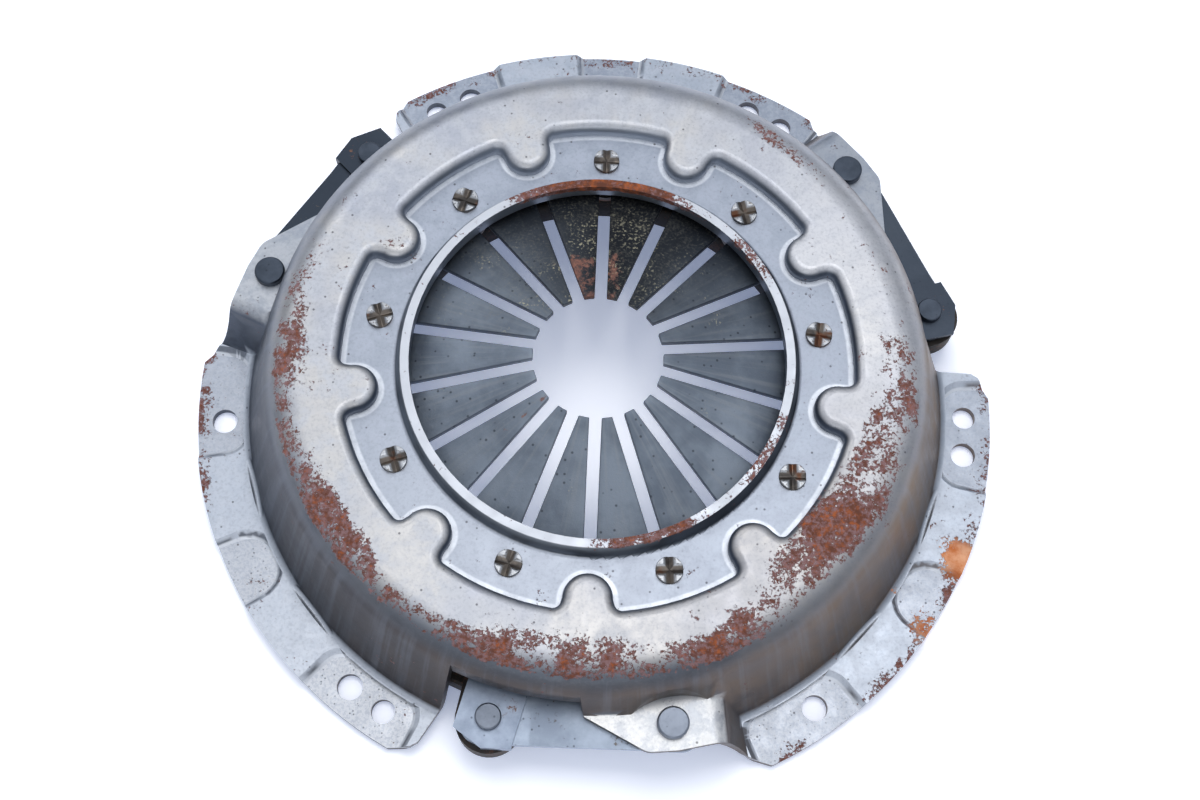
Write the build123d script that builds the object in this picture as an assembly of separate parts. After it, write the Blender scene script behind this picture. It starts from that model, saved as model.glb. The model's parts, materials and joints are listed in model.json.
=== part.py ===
"""Clutch cover assembly (diaphragm-spring pressure plate) for a 225 mm driven disc.

A pressed steel cover bolts to the flywheel. Nine stud rivets and two wire rings hang the
diaphragm spring under it. The spring's rim bears on a cast iron pressure plate, which three
packs of drive straps carry from three ears of the cover, and which three clips keep against
the spring.

Frame: millimetres, +Z from the flywheel towards the release bearing. The origin is the centre
of the bolt circle, in the plane where the flange sits on the flywheel. Angles are counted
anticlockwise from +X. The part is drawn as it comes off the shelf, with nothing clamped.
"""
import os
from math import atan, atan2, cos, hypot, radians, sin, tan

from build123d import *

# Layout around the axis
SECTORS = 3                    # ears, drive straps, windows and flange sectors
EAR_ANGLE = 45.0               # first ear rivet
LUG_ANGLE = -28.4              # lug rivet, from the ear rivet of its strap
FLANGE_MID = 46.0              # middle of a flange sector, from its ear rivet
STUDS = 9
STUD_ANGLE = 51.1              # first stud rivet
FINGERS = 18

# Main circles, from the axis outwards
STUD_R = 75.4                  # stud rivets that hang the diaphragm spring
RIDGE_R = 101.8                # bearing ridge of the pressure plate, under the spring's rim
SPRING_R = RIDGE_R + 2.7
PLATE_R = RIDGE_R + 11.2
RIM_R = PLATE_R - 1.0          # edge of the cover's sheet over a window, above the plate
EAR_RIVET_R = RIM_R + 8.6
FLANGE_R = RIM_R + 28.8

# Cover sheet
SHEET = 3.1
CROWN_Z = 46.3                 # top of the crown
CROWN_ROLL = 14.0              # radius that rolls the crown into the side wall
WALL_LEAN = 18.0               # side wall, from vertical
RIM_Z = 38.3                   # height of the sheet's edge over a window
RIB_Z = 6.3                    # top of the flange between the pads
FOOT_R = 3.0                   # bend between the side wall and the flange

# Recessed ring for the studs, with a tongue of the crown between each two studs
FLOOR_Z = 40.7
LOBE_R = STUD_R + 10.5
TONGUE_TIP_R = STUD_R - 1.9
TONGUE_W = 16.2
TONGUE_ROOT_W = 20.0
LOBE_CORNER = 2.6
CROWN_EDGE = 3.6               # rounding of the crown's edge over the ring
FLOOR_FOOT = 0.9

# Lip around the release bearing's opening
LIP_Z = 45.9
LIP_BORE = STUD_R - 12.5
LIP_TOP_R = LIP_BORE + 2.9
LIP_FOOT_R = LIP_BORE + 4.7
LIP_BEND = 1.6

# Flange pads that sit on the flywheel
PAD_R = FLANGE_R - 16.6        # inner edge of a pad
MID_PAD_R = FLANGE_R - 15.9
PAD_CORNER = 7.0
MID_CORNER = 8.8               # the blank pad in the middle ends in a full round
END_PAD = (18.8, 34.4)         # from, to: degrees from the middle of the sector
MID_PAD = 4.4                  # half angle of the blank pad in the middle
PAD_SLOPE = 2.6                # plan width of the sloping step around a pad
FLANGE_END = 33.1              # where the outer edge turns in, from the middle
WINDOW_END = 38.0              # where the flange meets the window

# Bolts and dowels
BOLT_PCD = 2*(FLANGE_R - 9.3)
BOLT_HOLE = 8.7                # M8 with play
BOLT_SPREAD = 23.75            # each bolt from the middle of its sector
DOWEL_HOLE = 8.0
DOWEL_SPREAD = 29.85

# Ears
EAR_Z = 26.4                   # top face
EAR_R = FLANGE_R - 11.6
EAR_CORNER = 6.0
EAR_TAPER_FROM = -4.4          # the edge starts to run in towards the window
EAR_TAPER_TO = -13.6
EAR_TAPER_R = RIM_R + 4.2
DENT_R = RIM_R                 # room for the riveting tool, dented into the side wall
TOOL_R = 26.0
STEP_TOP = (10.4, 5.2)         # top fold of the step down to the flange: at the wall, at the edge
STEP_FOOT = (13.9, 9.9)
STEP_EDGE = ((5.5, 0.7), (7.6, 1.8), (9.2, 3.7), (10.2, 6.3))    # angle, and reach beyond the ear
STEP_BEND = 3.0

# Creases pinched into the foot of the side wall, in the middle of each raised part
CREASE_SPREAD = 11.4           # from the middle of the sector
CREASE_DEPTH = 1.0
CREASE_WIDTH = 3.0
CREASE_TOOL_R = 85.0

# Drive straps
STRAP_W = 16.6
LEAF = 1.0
LEAVES = 3
STRAP_END = 9.0                # strap beyond each rivet
CLAMPED = 13.5                 # flat length on each side of a rivet
STRAP_CORNER = 6.0
STRAP_BEND = 12.0

# Rivets
EAR_HEAD = 10.4
EAR_HEAD_H = 2.9
LUG_HEAD = 8.6
LUG_HEAD_H = 2.4
STRAP_SHANK = 6.4
UPSET_HEAD = 9.6
UPSET_H = 2.2
STUD_SHANK = 6.0
STUD_NECK = 5.2
STAKE_HEAD = 9.0
STAKE_H = 1.6
STAKE_CUT = 2.1
STAKE_DEPTH = 0.6
STUD_FLANGE = 13.4
STUD_FLANGE_H = 2.4

# Diaphragm spring and fulcrum rings
SPRING_T = 2.6
TIP_R = 21.8
TIP_Z = 45.7                   # top of the finger tips, nothing clamped
SLOT_W = 4.1
EYE_W = 9.0                    # the slot widens to an eye around the stud
EYE_PLAY = 1.8
EYE_CORNER = 2.6
WIRE = 4.0                     # fulcrum ring wire
FIT = 0.05                     # play around a rivet shank, and between its neighbours
SEAT = 0.15                    # play at a rolling or tipping contact

# Pressure plate
PLATE_BORE = STUD_R - 1.4
FACE_Z = 0.6                   # friction face over the flywheel plane, nothing clamped
PLATE_T = 12.6
RIDGE_W = 5.0
RIDGE_ROOT_W = 8.0
RIDGE_PLAY = 0.4               # from the spring, nothing clamped
VENT_W = 15.0                  # gaps in the ridge
VENTS = 9
PLATE_EDGE = 1.0
LUG_R = 11.1
LUG_FLARE = 1.0                # how much wider the lug's web is on each side where it leaves the rim
LUG_Z = 8.2                    # underside of a lug
STRAP_DROP = 3.3               # lug end of a strap under its ear end, nothing clamped

# Retracting clips
CLIP_T = 1.4
CLIP_W = 20.0
CLIP_TAB = 10.0                # tab folded down over the strap's edge, from the cut corner on
CLIP_TAB_GAP = 0.1
CLIP_CUT_X = (-2.0, -11.0)     # cut corner, in the strap's frame
CLIP_CUT_Y = 6.2
CLIP_RISER = 1.6               # play between the riser and the spring's edge
CLIP_REACH = 3.8               # how far it hooks over the spring
CLIP_ARM_W = 14.0
CLIP_PLAY = 0.3

# Heights and radii that follow
PAD_Z = SHEET
EAR_UNDER = EAR_Z - SHEET
FLOOR_UNDER = FLOOR_Z - SHEET
PIVOT_R = STUD_R + STUD_SHANK/2 + FIT + WIRE/2
PIVOT_TOP = FLOOR_UNDER - WIRE - 2*SEAT
SPRING_SLOPE = (TIP_Z - PIVOT_TOP)/(PIVOT_R - TIP_R)
SPRING_RISE = SPRING_T/cos(atan(SPRING_SLOPE))
RING_GAP = WIRE/2/cos(atan(SPRING_SLOPE))
LOWER_RING_Z = PIVOT_TOP - SPRING_RISE - SEAT - RING_GAP
UPPER_RING_Z = PIVOT_TOP + SEAT + RING_GAP
STUD_SEAT_Z = LOWER_RING_Z - WIRE/2 - FIT
STRAP_LUG_Z = EAR_UNDER - STRAP_DROP
LUG_TOP = STRAP_LUG_Z - LEAVES*LEAF
PACK = LEAVES*LEAF


def sector_angles():
    """Angle of each ear rivet."""
    return [EAR_ANGLE + 360/SECTORS*i for i in range(SECTORS)]


def polar(r, angle):
    return (r*cos(radians(angle)), r*sin(radians(angle)))


def wall_r(z, depth=0.0):
    """Radius of the side wall at a height, for the skin this deep in the sheet."""
    return RIM_R + (RIM_Z - z)*tan(radians(WALL_LEAN)) - depth/cos(radians(WALL_LEAN))


def spring_top(r):
    return TIP_Z - (r - TIP_R)*SPRING_SLOPE


def face_of(points):
    return make_face(Polyline(*points, close=True))


def ring_of(profile):
    """Revolves a face drawn in the XZ plane, with radius along X."""
    return revolve(Plane.XZ*profile, Axis.Z)


def tube(outer, inner, z0, z1):
    return Pos(0, 0, z0)*extrude(Circle(outer) - Circle(inner), z1 - z0)


def rod(r, z0, z1, at=(0, 0)):
    return Pos(at[0], at[1], z0)*extrude(Circle(r), z1 - z0)


def moved(shape, angle):
    return Rot(0, 0, angle)*shape


# Cover

def dish(depth):
    """Everything under the crown, side wall and flange, for the skin this deep in the sheet."""
    lean = radians(WALL_LEAN)
    roll = CROWN_ROLL - depth
    centre_z = CROWN_Z - CROWN_ROLL
    reach = (wall_r(centre_z, depth)*cos(lean) - roll)/cos(lean)
    start = (reach, centre_z + roll)
    middle = (reach + roll*sin(radians(45)), centre_z + roll*cos(radians(45)))
    end = (reach + roll*cos(lean), centre_z + roll*sin(lean))
    flange_z = RIB_Z - depth
    foot = (wall_r(flange_z, depth), flange_z)
    out = FLANGE_R + SHEET
    bottom = -depth
    top = Polyline((0, bottom), (0, start[1]), start)
    side = Polyline(end, foot, (out, flange_z), (out, bottom), (0, bottom))
    profile = make_face(top + ThreePointArc(start, middle, end) + side)
    corner = profile.vertices().filter_by_position(Axis.X, foot[0] - 0.01, foot[0] + 0.01)
    return ring_of(fillet(corner, FOOT_R + depth))


def tongue(depth):
    """Plan of one tongue of the crown, on +X, for the skin this deep in the sheet."""
    tip = TONGUE_W/2 - depth
    centre = TONGUE_TIP_R + TONGUE_W/2
    root = TONGUE_ROOT_W/2 - depth
    back = LOBE_R + depth + LOBE_CORNER
    flare = face_of([(centre, -tip), (back, -root), (back, root), (centre, tip)])
    return Pos(centre, 0)*Circle(tip) + flare


def crown_hollow(depth):
    """The room over the recessed ring that is taken out of the crown, with its rounded edge."""
    plan = Circle(LOBE_R + depth)
    for i in range(STUDS):
        plan -= moved(tongue(depth), STUD_ANGLE + 360/STUDS*(i + 0.5))
    corners = [v for v in plan.vertices() if hypot(v.X, v.Y) > LOBE_R + depth - 0.5]
    plan = fillet(corners, LOBE_CORNER + depth)
    top = CROWN_Z - depth
    crown = rod(LOBE_R + 3*LOBE_CORNER, FLOOR_Z - depth, top)
    crown -= Pos(0, 0, FLOOR_Z - depth)*extrude(plan, top - FLOOR_Z + depth)
    edge = [e for e in crown.edges().group_by(Axis.Z)[-1] if edge_reach(e) < LOBE_R + 2*LOBE_CORNER]
    crown = fillet(edge, CROWN_EDGE - min(depth, CROWN_EDGE - 0.8))
    return rod(LOBE_R + 2.5*LOBE_CORNER, FLOOR_Z - depth, top + depth + 1) - crown


def edge_reach(edge):
    middle = edge.position_at(0.5)
    return hypot(middle.X, middle.Y)


def pad_plan(start, end, edge, corner):
    """Plan of a flange pad between two angles from the middle of the sector, on +X."""
    out = FLANGE_R + SHEET
    inner = ThreePointArc(polar(edge, start), polar(edge, (start + end)/2), polar(edge, end))
    outer = ThreePointArc(polar(out, end), polar(out, (start + end)/2), polar(out, start))
    sides = Line(inner @ 1, outer @ 0) + Line(outer @ 1, inner @ 0)
    plan = make_face(inner + outer + sides)
    corners = [v for v in plan.vertices() if hypot(v.X, v.Y) < edge + 1]
    return fillet(corners, corner)


def pad_room(plan, z0, shift):
    """The sunk volume of a pad, from its floor at z0 up to the flange's general level."""
    floor = offset(plan, shift) if shift else plan
    top = offset(plan, shift + PAD_SLOPE)
    return loft([Pos(0, 0, z0)*floor, Pos(0, 0, z0 + RIB_Z - PAD_Z)*top])


def pads():
    """Plans of the three pads of a flange sector, with the sector's middle on +X."""
    low, high = END_PAD
    middle = pad_plan(-MID_PAD, MID_PAD, MID_PAD_R, MID_CORNER)
    return [pad_plan(-high, -low, PAD_R, PAD_CORNER), middle, pad_plan(low, high, PAD_R, PAD_CORNER)]


def step_section(r, slot, depth):
    """Section of an ear and its step down to the flange, across the sector at this radius."""
    fold = r*tan(radians(STEP_TOP[slot]))
    foot = r*tan(radians(STEP_FOOT[slot]))
    lean = atan2(EAR_Z - PAD_Z, foot - fold)
    shift = depth*tan(lean/2)
    start = r*tan(radians(EAR_TAPER_TO - 3))
    end = foot + SHEET
    top, low, bottom = EAR_Z - depth, PAD_Z - depth, -depth - 1
    points = [(start, bottom), (start, top), (fold - shift, top), (foot - shift, low), (end, low), (end, bottom)]
    face = face_of(points)
    knee = [v for v in face.vertices() if abs(v.X - fold + shift) < 0.01 and abs(v.Y - top) < 0.01]
    toe = [v for v in face.vertices() if abs(v.X - foot + shift) < 0.01 and abs(v.Y - low) < 0.01]
    face = fillet(knee, STEP_BEND + SHEET - depth)
    toe = face.vertices().sort_by_distance(Vector(foot - shift, low, 0))[:1]
    return fillet(toe, STEP_BEND + depth)


def ear_block(depth):
    """Everything under an ear and its step, on the sector whose ear rivet is on +X."""
    near, far = wall_r(EAR_Z) - 12, FLANGE_R + SHEET
    inner = Plane(origin=(near, 0, 0), x_dir=(0, 1, 0), z_dir=(1, 0, 0))
    outer = Plane(origin=(far, 0, 0), x_dir=(0, 1, 0), z_dir=(1, 0, 0))
    return loft([inner*step_section(near, 0, depth), outer*step_section(far, 1, depth)], ruled=True)


def crease():
    """Round-nosed disc that pinches a crease into the foot of the side wall, on +X."""
    bisector = radians(45 + WALL_LEAN/2)
    inset = FOOT_R*(1/sin(bisector) - 1)
    reach = inset + CREASE_TOOL_R - CREASE_DEPTH
    x = wall_r(RIB_Z) + reach*cos(bisector)
    z = RIB_Z + reach*sin(bisector)
    disc = Plane(origin=(x, 0, z), x_dir=(0, 1, 0), z_dir=(-sin(bisector), 0, cos(bisector)))
    return disc*Torus(CREASE_TOOL_R - CREASE_WIDTH/2, CREASE_WIDTH/2)


def press_form(depth):
    """The whole pressed shape under one skin of the sheet: 0 for the top, SHEET for the underside."""
    form = dish(depth)
    tool = rod(TOOL_R + depth, EAR_Z - depth, CROWN_Z + 1, (DENT_R + TOOL_R, 0))
    ear = ear_block(depth)
    for angle in sector_angles():
        form -= moved(tool, angle)
        form += moved(ear, angle)
        for plan in pads():
            room = pad_room(plan, PAD_Z - depth, depth/2)
            form -= moved(room, angle + FLANGE_MID)
    form -= crown_hollow(depth)
    return form


def sector_outline():
    """Edge of the blank for one flange sector and its ear, with the ear rivet on +X."""
    first = FLANGE_MID - FLANGE_END
    last = FLANGE_MID + FLANGE_END
    shut = FLANGE_MID + WINDOW_END
    inside = RIM_R - 15
    arc = ThreePointArc(polar(FLANGE_R, first), polar(FLANGE_R, FLANGE_MID), polar(FLANGE_R, last))
    end = Polyline(arc @ 1, polar(137.0, last + 2.8), polar(134.8, last + 3.5), polar(121.0, shut - 0.5),
                   polar(RIM_R - 1, shut), polar(inside, shut))
    back = ThreePointArc(polar(inside, shut), polar(inside, shut/2), polar(inside, EAR_TAPER_TO - 1))
    step = Spline([polar(EAR_R + reach, s) for s, reach in STEP_EDGE])
    tip = polar(EAR_R - 1, EAR_TAPER_FROM)
    ear = Polyline(polar(inside, EAR_TAPER_TO - 1), polar(RIM_R - 1, EAR_TAPER_TO - 1),
                   polar(EAR_TAPER_R, EAR_TAPER_TO), tip, polar(EAR_R, 0), step @ 0)
    outline = make_face(arc + end + back + ear + step + Line(step @ 1, arc @ 0))
    return fillet(outline.vertices().sort_by_distance(Vector(*tip, 0))[:1], EAR_CORNER)


def blank():
    """Plan of the whole cover: the crown out to the rim, and three flange sectors with ears."""
    plan = Circle(RIM_R)
    for angle in sector_angles():
        plan += moved(sector_outline(), angle)
    return plan


def lip():
    """Turned-up lip and the flat ring that it stands on."""
    foot = LIP_FOOT_R - SHEET
    upright = face_of([(LIP_BORE, FLOOR_UNDER), (foot + 14, FLOOR_UNDER), (foot + 14, FLOOR_Z),
                       (LIP_FOOT_R, FLOOR_Z), (LIP_TOP_R, LIP_Z), (LIP_BORE, LIP_Z)])
    inner = upright.vertices().sort_by_distance(Vector(LIP_FOOT_R, FLOOR_Z, 0))[:1]
    upright = fillet(inner, LIP_BEND)
    under = upright.vertices().sort_by_distance(Vector(LIP_BORE, FLOOR_UNDER, 0))[:1]
    return ring_of(fillet(under, SHEET))


def cover():
    sheet = press_form(0) - press_form(SHEET)
    sheet &= extrude(blank(), CROWN_Z + 1)
    sheet -= rod(LIP_FOOT_R + 4, FLOOR_UNDER - 1, CROWN_Z + 1)
    sheet += lip()
    holes = [polar(STUD_R, STUD_ANGLE + 360/STUDS*i) for i in range(STUDS)]
    sheet -= [rod(STUD_NECK/2 + FIT, 0, CROWN_Z, at) for at in holes]
    for angle in sector_angles():
        sheet -= rod(STRAP_SHANK/2 + FIT, 0, CROWN_Z, polar(EAR_RIVET_R, angle))
        middle = angle + FLANGE_MID
        for side in (-1, 1):
            sheet -= rod(BOLT_HOLE/2, -1, RIB_Z, polar(BOLT_PCD/2, middle + side*BOLT_SPREAD))
            sheet -= moved(crease(), middle + side*CREASE_SPREAD)
        sheet -= rod(DOWEL_HOLE/2, -1, RIB_Z, polar(BOLT_PCD/2, middle + DOWEL_SPREAD))
    first = EAR_ANGLE + FLANGE_MID - DOWEL_SPREAD
    return sheet - rod(DOWEL_HOLE/2, -1, RIB_Z, polar(BOLT_PCD/2, first))


# Diaphragm spring, its rings and studs

def diaphragm_spring():
    profile = face_of([(TIP_R, TIP_Z), (SPRING_R, spring_top(SPRING_R)),
                       (SPRING_R, spring_top(SPRING_R) - SPRING_RISE), (TIP_R, TIP_Z - SPRING_RISE)])
    spring = ring_of(profile)
    slot = Pos(STUD_R/2, 0)*Rectangle(STUD_R, SLOT_W)
    eye = Pos(STUD_R - EYE_PLAY/2, 0)*RectangleRounded(STUD_SHANK + EYE_PLAY, EYE_W, EYE_CORNER)
    cut = extrude(slot + eye, 2*TIP_Z)
    return spring - [moved(cut, STUD_ANGLE + 360/FINGERS*i) for i in range(FINGERS)]


def fulcrum_ring(z):
    return Pos(0, 0, z)*Torus(PIVOT_R, WIRE/2)


def stud_rivet():
    """Stud on +X: flange under the lower ring, shank through the spring, cross-staked head."""
    at = (STUD_R, 0)
    stud = rod(STUD_FLANGE/2, STUD_SEAT_Z - STUD_FLANGE_H, STUD_SEAT_Z, at)
    stud += rod(STUD_SHANK/2, STUD_SEAT_Z, FLOOR_UNDER, at)
    stud += rod(STUD_NECK/2, FLOOR_UNDER, FLOOR_Z, at)
    head = rod(STAKE_HEAD/2, FLOOR_Z, FLOOR_Z + STAKE_H, at)
    head = chamfer(head.edges().group_by(Axis.Z)[-1], STAKE_H/3)
    return stud + head


def staked(stud, angle):
    """Cuts the cross into a stud's head: the chisels of the press all stand the same way."""
    x, y = polar(STUD_R, angle)
    z = FLOOR_Z + STAKE_H - STAKE_DEPTH/2
    for turn in (0, 90):
        stud -= Pos(x, y, z)*Rot(0, 0, turn)*Box(STAKE_HEAD + 1, STAKE_CUT, STAKE_DEPTH + 0.001)
    return stud


# Drive straps and their rivets

def strap_ends():
    """Ear rivet and lug rivet of the strap on the sector whose ear rivet is on +X."""
    return polar(EAR_RIVET_R, 0), polar(EAR_RIVET_R, LUG_ANGLE)


def strap_frame():
    """Frame at the lug rivet, with x along the strap to the ear rivet and y towards the axis."""
    ear, lug = strap_ends()
    along = Vector(ear[0] - lug[0], ear[1] - lug[1], 0)
    return Plane(origin=(lug[0], lug[1], 0), x_dir=along, z_dir=(0, 0, 1)), along.length


def strap_leaf(level):
    """One leaf, counted from the top of the pack: flat at both rivets, sloping between them."""
    frame, length = strap_frame()
    top = EAR_UNDER - level*LEAF
    low = top - STRAP_DROP
    line = FilletPolyline((-STRAP_END, low), (CLAMPED, low), (length - CLAMPED, top),
                          (length + STRAP_END, top), radius=STRAP_BEND)
    under = Pos(0, -LEAF)*line
    side = make_face(line + under + Line(line @ 0, under @ 0) + Line(line @ 1, under @ 1))
    leaf = Pos(0, STRAP_W/2, 0)*extrude(Plane.XZ*side, STRAP_W)
    leaf = fillet(leaf.edges().filter_by(Axis.Z), STRAP_CORNER)
    for x in (0, length):
        leaf -= rod(STRAP_SHANK/2 + FIT, 0, CROWN_Z, (x, 0))
    return frame*leaf


def domed_head(size, height, z):
    head = rod(size/2, z, z + height)
    return fillet(head.edges().group_by(Axis.Z)[-1], height/4)


def ear_rivet():
    x, y = strap_ends()[0]
    low = EAR_UNDER - PACK
    rivet = domed_head(EAR_HEAD, EAR_HEAD_H, EAR_Z)
    rivet += rod(STRAP_SHANK/2, low, EAR_Z) + rod(UPSET_HEAD/2, low - UPSET_H, low)
    return Pos(x, y, 0)*rivet


def lug_rivet():
    x, y = strap_ends()[1]
    seat = STRAP_LUG_Z + CLIP_T
    rivet = domed_head(LUG_HEAD, LUG_HEAD_H, seat)
    rivet += rod(STRAP_SHANK/2, LUG_Z, seat) + rod(UPSET_HEAD/2, LUG_Z - UPSET_H, LUG_Z)
    return Pos(x, y, 0)*rivet


# Pressure plate and clips

def ridge():
    """Bearing ridge under the spring's rim, broken by vents."""
    top = spring_top(RIDGE_R) - SPRING_RISE - RIDGE_PLAY
    back = FACE_Z + PLATE_T
    half, root = RIDGE_W/2, RIDGE_ROOT_W/2
    shoulder = top - half/2
    sides = Polyline((RIDGE_R - half, shoulder), (RIDGE_R - root, back - 1),
                     (RIDGE_R + root, back - 1), (RIDGE_R + half, shoulder))
    crest = ThreePointArc(sides @ 1, (RIDGE_R, top), sides @ 0)
    ring = ring_of(make_face(sides + crest))
    vent = Pos(RIDGE_R, 0, back)*Box(4*RIDGE_ROOT_W, VENT_W, 2*(top - back) + 2*RIDGE_W)
    vent &= Pos(RIDGE_R, 0, top)*Box(5*RIDGE_ROOT_W, 2*VENT_W, 2*(top - back))
    step = 360/VENTS
    return ring - [moved(vent, EAR_ANGLE + LUG_ANGLE + step*i) for i in range(VENTS)]


def lug():
    """Lug on the sector whose ear rivet is on +X: a boss under the strap, webbed to the rim."""
    root = PLATE_R - 6
    wide = LUG_R + LUG_FLARE
    web = face_of([(EAR_RIVET_R, LUG_R), (root, wide), (root, -wide), (EAR_RIVET_R, -LUG_R)])
    plan = Pos(EAR_RIVET_R, 0)*Circle(LUG_R) + web
    body = Pos(0, 0, LUG_Z)*extrude(plan, LUG_TOP - LUG_Z)
    return moved(body, LUG_ANGLE)


def pressure_plate():
    back = FACE_Z + PLATE_T
    plate = tube(PLATE_R, PLATE_BORE, FACE_Z, back)
    plate = chamfer(plate.edges().filter_by(GeomType.CIRCLE), PLATE_EDGE)
    plate += ridge()
    x, y = polar(EAR_RIVET_R, LUG_ANGLE)
    for angle in sector_angles():
        plate += moved(lug(), angle)
        plate -= moved(rod(STRAP_SHANK/2 + FIT, 0, CROWN_Z, (x, y)), angle)
    return plate


def retracting_clip():
    """Clip on the sector whose ear rivet is on +X: flat on the strap, up past the spring, over its rim."""
    low = STRAP_LUG_Z
    riser = SPRING_R + CLIP_RISER
    hook_r = SPRING_R - CLIP_REACH
    high = spring_top(hook_r) + CLIP_PLAY
    out = EAR_RIVET_R + STRAP_W
    side = face_of([(out, low), (riser, low), (riser, high), (hook_r, high), (hook_r, high + CLIP_T),
                    (riser + CLIP_T, high + CLIP_T), (riser + CLIP_T, low + CLIP_T), (out, low + CLIP_T)])
    clip = Pos(0, CLIP_W/2, 0)*extrude(Plane.XZ*side, CLIP_W)
    arm = riser + CLIP_T + 2 - hook_r
    for y in (-1, 1):
        trim = Pos(hook_r + arm/2, y*(CLIP_ARM_W + 10)/2, high)*Box(arm + 0.01, 10, 3*(high - low))
        clip -= trim
    clip -= rod(STRAP_SHANK/2 + FIT, 0, CROWN_Z, (EAR_RIVET_R, 0))
    frame, _ = strap_frame()
    near, far = CLIP_CUT_X
    edge = -STRAP_W/2 - CLIP_TAB_GAP - CLIP_T
    beyond = face_of([(CLIP_W, edge), (near, edge), (far, edge + CLIP_CUT_Y), (2*far - near, edge + 2*CLIP_CUT_Y),
                      (-CLIP_W, -2*CLIP_W), (CLIP_W, -2*CLIP_W)])
    tab = Pos(near, edge, low - PACK)*Box(CLIP_TAB, CLIP_T, PACK + CLIP_T, align=Align.MIN)
    return moved(clip, LUG_ANGLE) - frame*extrude(beyond, CROWN_Z) + frame*tab


def export(name, shape):
    shape.label = name
    export_step(shape, f"parts/{name}.step")


def main():
    os.makedirs("parts", exist_ok=True)
    export("cover", cover())
    export("diaphragm_spring", diaphragm_spring())
    export("upper_fulcrum_ring", fulcrum_ring(UPPER_RING_Z))
    export("lower_fulcrum_ring", fulcrum_ring(LOWER_RING_Z))
    export("pressure_plate", pressure_plate())
    stud = stud_rivet()
    for i in range(STUDS):
        angle = STUD_ANGLE + 360/STUDS*i
        export(f"stud_rivet_{i + 1}", staked(moved(stud, angle), angle))
    leaves = [strap_leaf(level) for level in range(LEAVES)]
    for i, angle in enumerate(sector_angles(), 1):
        for level, leaf in zip(("top", "middle", "bottom"), leaves):
            export(f"strap_{i}_{level}_leaf", moved(leaf, angle))
        export(f"ear_rivet_{i}", moved(ear_rivet(), angle))
        export(f"lug_rivet_{i}", moved(lug_rivet(), angle))
        export(f"retracting_clip_{i}", moved(retracting_clip(), angle))


main()
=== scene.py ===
# %% [markdown]
# # A used clutch cover, seen from the gearbox side
# The part is a pressed steel cover with a diaphragm spring riveted under it, and a cast pressure
# plate hung from it on three packs of drive straps. It has lain about for years: bare steel,
# dust on the spring and rust that has started on the crown.
# The CAD model already holds every size, so this lesson dresses it. It gives the steel its
# finishes, and makes new pieces only where the real one bends or where a press left its marks.

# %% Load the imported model
import json
from math import cos, pi, radians, sin

import bmesh
import bpy
import numpy as np
from mathutils import Matrix, Vector


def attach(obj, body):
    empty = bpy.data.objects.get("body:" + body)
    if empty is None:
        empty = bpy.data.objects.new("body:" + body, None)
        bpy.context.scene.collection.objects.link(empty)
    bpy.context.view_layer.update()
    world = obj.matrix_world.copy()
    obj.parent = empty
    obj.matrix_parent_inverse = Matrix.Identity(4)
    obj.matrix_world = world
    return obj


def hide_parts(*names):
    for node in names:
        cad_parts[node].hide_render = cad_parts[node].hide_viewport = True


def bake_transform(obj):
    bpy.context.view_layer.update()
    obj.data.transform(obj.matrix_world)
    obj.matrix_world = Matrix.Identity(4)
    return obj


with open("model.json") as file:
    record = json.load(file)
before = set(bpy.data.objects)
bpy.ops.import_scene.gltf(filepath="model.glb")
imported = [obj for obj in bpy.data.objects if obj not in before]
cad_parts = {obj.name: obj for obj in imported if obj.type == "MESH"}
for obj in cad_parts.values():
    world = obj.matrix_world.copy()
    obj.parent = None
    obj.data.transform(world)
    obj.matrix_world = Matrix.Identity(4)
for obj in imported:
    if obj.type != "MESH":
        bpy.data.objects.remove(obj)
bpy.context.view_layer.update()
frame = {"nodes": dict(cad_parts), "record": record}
scene = bpy.context.scene
nodes = frame["nodes"]
MM = 0.001

# %% [markdown]
# ## The camera
# The photograph was taken from nearly straight above, at 70 degrees, with the camera tilted a
# little to one side. Its focal length and distance were worked out from the bolt holes and
# rivets, whose places on the real part are known, so the render lines up with it.

# %% Camera
AZIMUTH, ELEVATION, ROLL = radians(0.34), radians(69.707), radians(3.26)
DISTANCE, SIDEWAYS, UPWARDS = 0.5808, 0.00144, 0.00127
LENS, SENSOR = 48.56, 36.0

back = Vector((sin(AZIMUTH)*cos(ELEVATION), -cos(AZIMUTH)*cos(ELEVATION), sin(ELEVATION)))
across = Vector((cos(AZIMUTH), sin(AZIMUTH), 0))
upright = back.cross(across)
camera_x = cos(ROLL)*across + sin(ROLL)*upright
camera_y = cos(ROLL)*upright - sin(ROLL)*across
turn = Matrix((camera_x, camera_y, back)).transposed().to_4x4()
place = Matrix.Translation(DISTANCE*back + SIDEWAYS*across + UPWARDS*upright)

camera = bpy.data.objects.new("camera", bpy.data.cameras.new("camera"))
camera.data.lens, camera.data.sensor_width = LENS, SENSOR
camera.data.clip_start, camera.data.clip_end = 0.01, 20
camera.matrix_world = place @ turn
scene.collection.objects.link(camera)
scene.camera = camera
scene.view_settings.view_transform = "Standard"
print("camera at", [round(c, 3) for c in camera.location])

# %% [markdown]
# ## Helpers for materials
# A material is a small network. One function adds a node, sets its settings and links its
# inputs, so that each line of a material reads as one step.

# %% Colours, nodes and links
def linear(hex_colour):
    """sRGB hex to linear RGBA: the curve that Blender's colours expect."""
    srgb = np.array([int(hex_colour[i:i + 2], 16) for i in (0, 2, 4)])/255
    rgb = np.where(srgb <= 0.04045, srgb/12.92, ((srgb + 0.055)/1.055)**2.4)
    return (*map(float, rgb), 1.0)


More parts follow.
